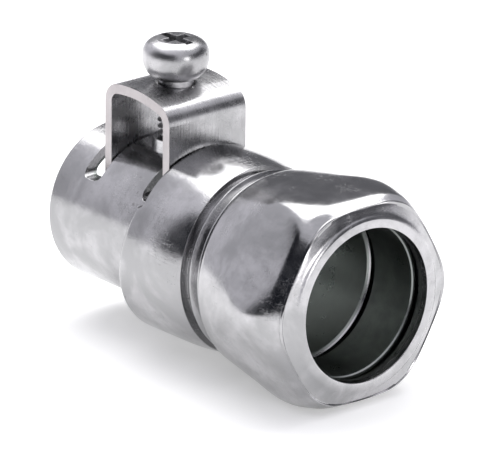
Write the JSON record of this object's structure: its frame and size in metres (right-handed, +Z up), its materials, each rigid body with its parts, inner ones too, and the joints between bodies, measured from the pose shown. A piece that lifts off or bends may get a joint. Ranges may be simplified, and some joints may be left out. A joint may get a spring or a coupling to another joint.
{
  "type": "conduit compression fitting",
  "caption": "Plated steel coupling that clamps thin-wall conduit with a hex nut and split ring, and flexible cable with a saddle strap and screw.",
  "frame": {"origin": "on the conduit's axis, at the stop inside the body that the conduit's end meets", "axes": "+X along the conduit's axis, out of the compression nut's mouth; +Z up through the saddle screw"},
  "size_m": [0.0457, 0.0282, 0.0357],
  "materials": {
    "plated_body": "bright zinc plate over turned steel",
    "plated_nut": "bright zinc plate over cold-formed steel",
    "ring_steel": "dull zinc plate",
    "strap_steel": "zinc plate over rolled strip, sheared edges",
    "plated_screw": "bright zinc plate"
  },
  "bodies": {
    "body": {"body": "plated_body"},
    "ring": {"compression_ring": "ring_steel"},
    "nut": {"compression_nut": "plated_nut"},
    "strap": {"saddle_strap": "strap_steel"},
    "screw": {"saddle_screw": "plated_screw"}
  },
  "joints": [
    {"name": "ring_slide", "type": "slide", "parent": "body", "child": "ring", "axis": [1, 0, 0], "range_m": [-0.00096, 0.00283]},
    {"name": "nut_turn", "type": "hinge", "parent": "ring", "child": "nut", "pos_m": [0.018, 0, 0], "axis": [1, 0, 0], "range_deg": [-240, 720]},
    {"name": "strap_slide", "type": "slide", "parent": "body", "child": "strap", "axis": [0, 0, 1], "range_m": [-0.0048, 0.00085]},
    {"name": "screw_turn", "type": "hinge", "parent": "strap", "child": "screw", "pos_m": [-0.008, 0, 0.0187], "axis": [0, 0, 1], "range_deg": [-2180, 390]}
  ],
  "couplings": [
    {"joint": "ring_slide", "follows": "nut_turn", "m_per_rad": 0.00022459},
    {"joint": "screw_turn", "follows": "strap_slide", "rad_per_m": 7915.8}
  ]
}
